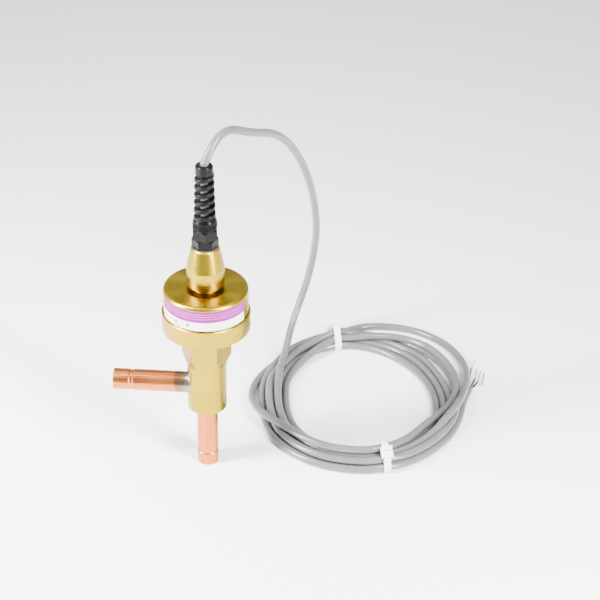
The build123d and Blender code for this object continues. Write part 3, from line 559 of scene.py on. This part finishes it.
def print_piece(name, bars, material):
    """Bars of ink on the label as one piece, cut finely enough to look round."""
    vertices, faces = [], []
    for low, high, start, end in bars:
        count = max(2, round((end - start) / PRINT_STEP) + 1)
        base = len(vertices)
        for k in range(count):
            angle = start + (end - start) * k / (count - 1)
            vertices.append(metres(polar(PRINT_RADIUS, angle, low)))
            vertices.append(metres(polar(PRINT_RADIUS, angle, high)))
        for k in range(count - 1):
            a = base + 2 * k
            faces.append((a, a + 2, a + 3, a + 1))
    mesh_piece(name, vertices, faces, material, smooth=True)


def broken_rows(rows, dice):
    """Long bars broken into pieces of uneven length with gaps between them."""
    made = []
    for low, high, start, end in rows:
        angle = start
        while angle < end:
            length = dice.uniform(*PIECE_LENGTHS)
            made.append((low, high, angle, min(angle + length, end)))
            angle += length + dice.uniform(*PIECE_GAPS)
    return made


def ring_of_dots():
    """Short bars in a ring, at the pale print's left end."""
    made = []
    for k in range(RING_DOTS):
        a = 2 * math.pi * k / RING_DOTS
        height = RING_HEIGHT + RING_HALF_HEIGHT * math.sin(a)
        angle = RING_ANGLE + RING_HALF_WIDTH * math.cos(a)
        low, high = height - DOT_HALF_HEIGHT, height + DOT_HALF_HEIGHT
        made.append((low, high, angle - DOT_HALF_WIDTH, angle + DOT_HALF_WIDTH))
    return made


def make_label(materials):
    sheet_piece("label_white", LABEL_BOTTOM, LABEL_SPLIT, materials["label_white"])
    sheet_piece("label_magenta", LABEL_SPLIT, LABEL_TOP, materials["printed_label"])
    pale_bars = broken_rows(PALE_ROWS, random.Random(4)) + ring_of_dots()
    print_piece("label_pale_print", pale_bars, materials["label_pale_ink"])
    print_piece("label_grey_print", GREY_BARS, materials["label_grey_ink"])


# ---- ties ---------------------------------------------------------------------------------
TIE_WIDTH = 4.8
TIE_REACH = 3.15        # from a strand's middle to the band's inside
TIE_LIP = 0.82          # thickness of the band's plain edges
TIE_LIP_TOP = 0.6       # width of a plain edge at its top
TIE_LIP_FOOT = 0.7      # width of a plain edge where the ridges begin
TIE_RIDGES = (0.62, 0.76)
TIE_STEP = 0.3          # spacing of the rings that make the band
TIE_ROUNDING = 0.22

# Blocks of a tie's head: low and high above the band, near and far along it, its width across the
# band and its shift to one side.
HEAD_BLOCKS = [
    (-0.2, 4.3, -3.9, -1.5, 7.6, 0.0),
    (-0.2, 4.3, 1.6, 3.9, 7.6, 0.0),
    (-0.2, 3.6, -1.6, 1.7, 1.5, -3.05),
    (-0.2, 3.6, -1.6, 1.7, 1.5, 3.05),
    (1.2, 2.6, -1.2, 1.5, 4.7, 0.0),
]
STRAP_END = (1.0, 2.0, 3.8, 6.2, 4.6, 0.0)


def lane_strands(station):
    """The strands that cross a station of LANES, as (radius, height) pairs."""
    lane = next(lane for lane in LANES if lane[0] == station)
    return [strand for strand in lane[1:] if strand]


def hull_outline(strands):
    """The line that a tight band takes round strands given as (radius, height), in even steps."""
    corners = []
    for half_degree in range(720):
        a = math.radians(half_degree / 2)
        way = Vector((math.cos(a), math.sin(a)))
        best = max(strands, key=lambda strand: strand[0] * way.x + strand[1] * way.y)
        corners.append(Vector(best) + way * TIE_REACH)
    even = []
    for first, second in zip(corners, corners[1:] + corners[:1]):
        gap = (second - first).length
        for k in range(max(1, round(gap / TIE_STEP))):
            spot = first.lerp(second, k * TIE_STEP / max(gap, TIE_STEP))
            if not even or (spot - even[-1]).length > TIE_STEP * 0.8:
                even.append(spot)
    return even


def add_band(mesh, place, strands):
    """The strap round the strands, with plain edges and fine cross ridges between them."""
    line = hull_outline(strands)
    centre = sum(line, Vector((0, 0))) / len(line)
    half = TIE_WIDTH / 2
    rings = []
    for k, spot in enumerate(line):
        run = (line[(k + 1) % len(line)] - line[k - 1]).normalized()
        normal = Vector((run.y, -run.x))
        if normal.dot(spot - centre) < 0:
            normal.negate()
        ridge = TIE_RIDGES[k // 2 % 2]
        profile = [
            (0.0, -half),
            (0.0, half),
            (TIE_LIP, half),
            (TIE_LIP, half - TIE_LIP_TOP),
            (ridge, half - TIE_LIP_FOOT),
            (ridge, -half + TIE_LIP_FOOT),
            (TIE_LIP, -half + TIE_LIP_TOP),
            (TIE_LIP, -half),
        ]
        rings.append([mesh.verts.new(place(*(spot + normal * up), along)) for up, along in profile])
    for first, second in zip(rings, rings[1:] + rings[:1]):
        for i in range(len(profile)):
            j = (i + 1) % len(profile)
            mesh.faces.new((first[i], first[j], second[j], second[i]))


def add_block(mesh, place, head, up, flat, sizes):
    """A box on the band, turned with the head; its sizes are as in HEAD_BLOCKS."""
    low, high, near, far, width, shift = sizes
    corners = []
    for along in (-width / 2 + shift, width / 2 + shift):
        for height, reach in ((low, near), (low, far), (high, far), (high, near)):
            corners.append(mesh.verts.new(place(*(head + up * height + flat * reach), along)))
    a, b = corners[:4], corners[4:]
    mesh.faces.new(a[::-1])
    mesh.faces.new(b)
    for i in range(4):
        j = (i + 1) % 4
        mesh.faces.new((a[i], a[j], b[j], b[i]))


def make_tie(name, node, station, head_at, head_tilt, blocks, material):
    """A cable tie at a station of LANES: its band, and a head with a slot made of blocks."""
    out = polar(1.0, station)
    side = Vector((-out.y, out.x, 0))
    middle = Vector((*COIL_CENTRE, 0))

    def place(across, height, along):
        return metres(middle + out * across + side * along + Vector((0, 0, height)))

    turn = math.radians(head_tilt)
    up = Vector((math.cos(turn), math.sin(turn)))
    flat = Vector((math.sin(turn), -math.cos(turn)))
    mesh = bmesh.new()
    add_band(mesh, place, lane_strands(station))
    for sizes in blocks:
        add_block(mesh, place, Vector(head_at), up, flat, sizes)
    bmesh.ops.recalc_face_normals(mesh, faces=mesh.faces)
    data = bpy.data.meshes.new(name)
    mesh.to_mesh(data)
    mesh.free()
    tie = link(bpy.data.objects.new(name, data), material)
    rounding = tie.modifiers.new("edges", "BEVEL")
    rounding.width = TIE_ROUNDING * MM
    rounding.segments = 2
    rounding.angle_limit = math.radians(50)
    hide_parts(node)
    return tie


def make_ties(materials):
    nylon = materials["tie_nylon"]
    return [
        make_tie("tie_back", "cable_tie_back", 465.5, (85.3, 4.1), 0.0, HEAD_BLOCKS, nylon),
        make_tie("tie_front", "cable_tie_front", 285, (79.6, 13.6), 49.0, HEAD_BLOCKS + [STRAP_END], nylon),
    ]


# ---- bare core ends -----------------------------------------------------------------------
CORE_TIPS = [
    ((184.9, 119, 3.4), (187.9, 131.0, 3.0)),
    ((187.2, 105.3, 4.2), (189.2, 119.5, 3.4)),
    ((189.4, 103.6, 2.6), (192.0, 118.0, 2.2)),
    ((192.2, 101.0, 1.0), (194.6, 117.6, 1.0)),
]
TIP_STRANDS = 5
TIP_POINTS = 16
TIP_TWIST = 0.55        # radians from one point to the next
TIP_SPREAD = 0.2        # from the tip's middle to a strand's middle
TIP_STRAND_RADIUS = 0.15


def make_tips(materials):
    """Each bare end: thin tinned strands with a lazy twist."""
    data = round_curve("tip_strands", cuts_around=2, cuts_along=4)
    for start, end in CORE_TIPS:
        start, end = Vector(start), Vector(end)
        run = (end - start).normalized()
        side = run.orthogonal().normalized()
        over = run.cross(side)
        for strand in range(TIP_STRANDS):
            points = []
            for k in range(TIP_POINTS):
                a = 2 * math.pi * strand / TIP_STRANDS + k * TIP_TWIST
                off = (side * math.cos(a) + over * math.sin(a)) * TIP_SPREAD
                points.append(start.lerp(end, k / (TIP_POINTS - 1)) + off)
            add_line(data, points, TIP_STRAND_RADIUS)
    tips = link(bpy.data.objects.new("tip_strands", data), materials["tinned_copper"])
    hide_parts("wire_tips")
    return tips


# ---- gland grip ---------------------------------------------------------------------------
RIB_COUNT = 48
RIB_LOW = 185.9
RIB_HIGH = 190.2
# A rib's four edges: radius at the low end and at the top, degrees from the rib's middle, and how
# far below RIB_HIGH the edge stops.
RIB_EDGES = [
    (7.45, 7.45, -2.4, 0.0),
    (7.95, 7.85, -0.9, 0.3),
    (7.95, 7.85, 0.9, 0.3),
    (7.45, 7.45, 2.4, 0.0),
]
RIB_FACES = ((0, 1, 2, 3), (7, 6, 5, 4), (0, 4, 5, 1), (1, 5, 6, 2), (2, 6, 7, 3), (3, 7, 4, 0))


def make_grip(materials):
    """Fine upright ribs round the dome nut's shoulder, sloped at their top ends."""
    vertices, faces = [], []
    for k in range(RIB_COUNT):
        angle = k * 360 / RIB_COUNT
        base = len(vertices)
        for radius, _, turn, _ in RIB_EDGES:
            vertices.append(metres(polar(radius, angle + turn, RIB_LOW)))
        for _, radius, turn, drop in RIB_EDGES:
            vertices.append(metres(polar(radius, angle + turn, RIB_HIGH - drop)))
        for face in RIB_FACES:
            faces.append(tuple(base + i for i in face))
    mesh_piece("gland_grip_ribs", vertices, faces, materials["black_nylon"])


# ---- making -------------------------------------------------------------------------------
make_camera()
make_studio()
materials = make_materials()
dress_frame(materials)
ties = make_ties(materials)
tips = make_tips(materials)
make_cable(materials)
make_label(materials)
make_grip(materials)

bpy.context.view_layer.update()
